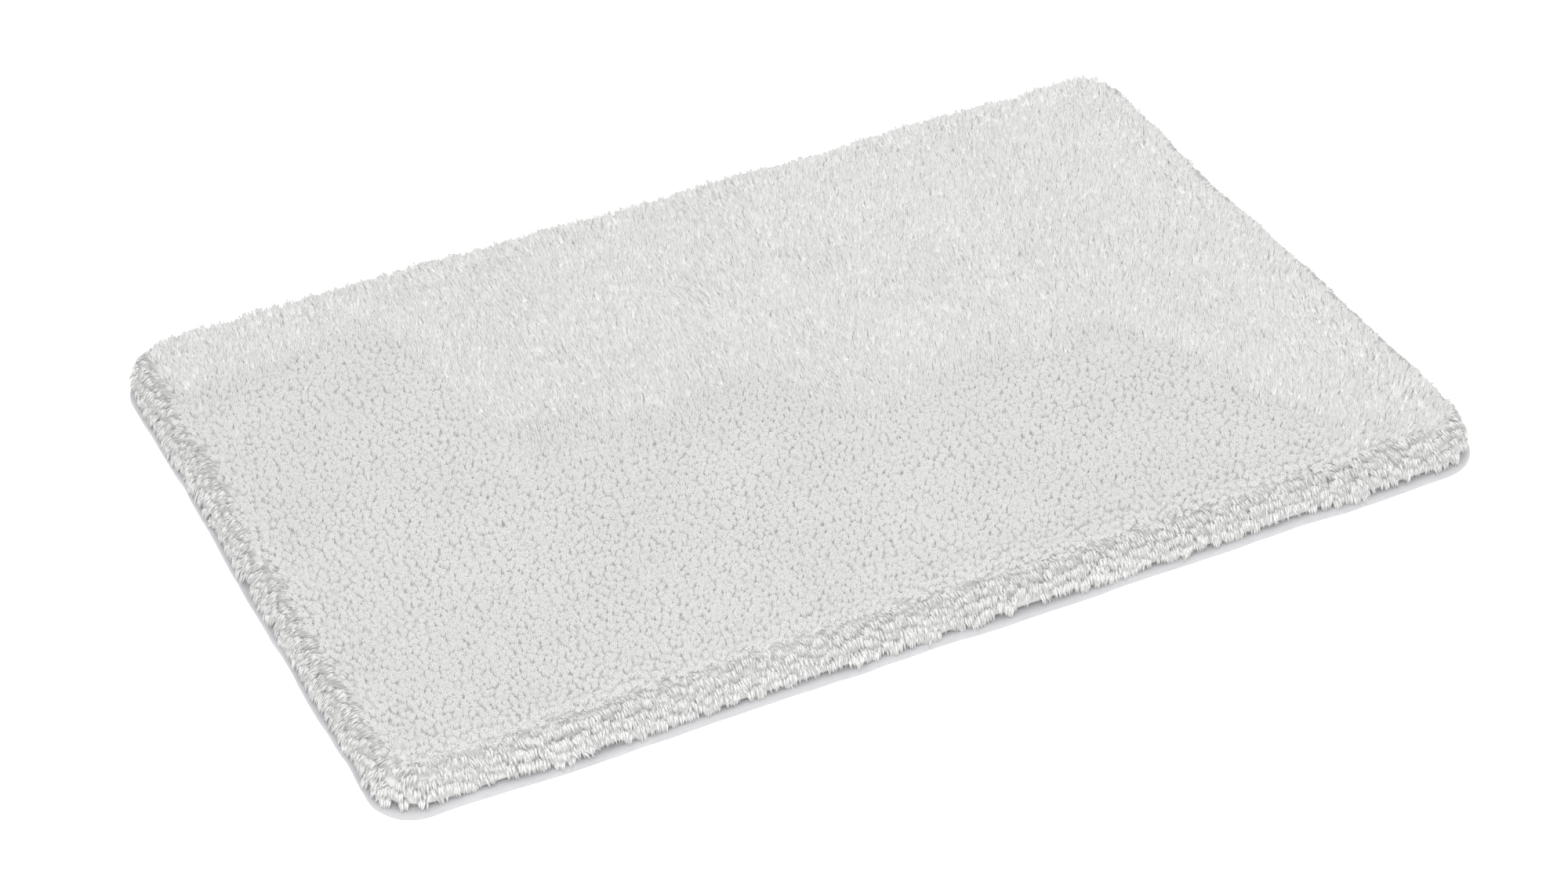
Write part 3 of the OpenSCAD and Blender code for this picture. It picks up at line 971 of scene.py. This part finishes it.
def add_stage():
    """White floor, white surroundings and two soft lights."""
    corners = np.array([(-1, -1, 0), (1, -1, 0), (1, 1, 0), (-1, 1, 0)], float) * FLOOR_HALF
    floor = new_mesh_object("floor", corners, np.array([(0, 1, 2), (0, 2, 3)]))
    mat = bpy.data.materials.new("floor")
    mat.use_nodes = True
    shader = mat.node_tree.nodes["Principled BSDF"]
    shader.inputs["Base Color"].default_value = FLOOR_WHITE
    shader.inputs["Roughness"].default_value = 0.9
    shader.inputs["Emission Color"].default_value = (1, 1, 1, 1)
    shader.inputs["Emission Strength"].default_value = FLOOR_GLOW
    floor.data.materials.append(mat)
    world = bpy.data.worlds.new("studio")
    world.use_nodes = True
    sky = world.node_tree.nodes["Background"]
    sky.inputs["Color"].default_value = (1, 1, 1, 1)
    sky.inputs["Strength"].default_value = SKY_STRENGTH
    bpy.context.scene.world = world
    for softbox in SOFTBOXES:
        add_softbox(*softbox)
    bpy.context.scene.view_settings.view_transform = "Standard"


def place(obj, material, body, node, slot):
    """Puts a piece in its material, on its body, in place of its CAD node."""
    obj.data.materials.append(material)
    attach(obj, body)
    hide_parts(node)
    return obj


def repaint(node, material):
    """Gives a CAD node that stays in view its material."""
    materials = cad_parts[node].data.materials
    materials.clear()
    materials.append(material)


def build_pile():
    """The groups of rows of tufts, and the yarn material on the back stitches."""
    material = yarn_material()
    x, y, group = tuft_roots()
    for k in range(PILE_GROUPS):
        mine = group == k
        name = f"tuft_rows_{k + 1:02d}"
        obj = pile_group(name + "_pile", k, x[mine], y[mine], np.random.default_rng(100 + k))
        place(obj, material, "mat", name, "pile_yarn")
    repaint("tuft_back_stitches", material)


def build_base():
    """The two backings, the latex and the non-slip film."""
    cloth = cloth_material("backing_cloth", BACKING_TONES, 1.6 * MM, 0.25 * MM)
    latex = rubber_material("latex", LATEX_TONES, 2.5 * MM, 0.3 * MM, 0.6)
    rubber = rubber_material("nonslip_rubber", RUBBER_TONES, 1.2 * MM, 0.1 * MM, 0.5)
    primary = backing_layer("primary_backing_cloth", "primary_backing")
    secondary = backing_layer("secondary_backing_cloth", "secondary_backing")
    place(primary, cloth, "mat", "primary_backing", "backing_cloth")
    place(secondary, cloth, "mat", "secondary_backing", "backing_cloth")
    repaint("latex_coat", latex)
    place(nonslip_film(), rubber, "mat", "nonslip_film", "nonslip_rubber")


def build_edge():
    """The hem and the two threads of its seam."""
    tape = cloth_material("binding_tape", TAPE_TONES, 0.9 * MM, 0.12 * MM, 0.75, 0.3)
    thread = thread_material("sewing_thread")
    hem = place(hem_tape(), tape, "mat", "edge_binding", "binding_tape")
    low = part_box("binding_needle_thread")[0].z
    needle = seam_stitches("needle_thread_stitches", low - 1.0 * MM, 0.3 * MM)
    place(needle, thread, "mat", "binding_needle_thread", "sewing_thread")
    bobbin = seam_stitches("bobbin_thread_stitches", 0.5 * MM, -0.15 * MM)
    place(bobbin, thread, "mat", "binding_bobbin_thread", "sewing_thread")


def build_label():
    """The care label, on its own body."""
    satin = cloth_material("label_tape", LABEL_TONES, 0.35 * MM, 0.04 * MM, 0.45, 0.1)
    label = place(care_label(), satin, "label", "care_label", "label_tape")


add_camera()
add_stage()
build_pile()
build_base()
build_edge()
build_label()
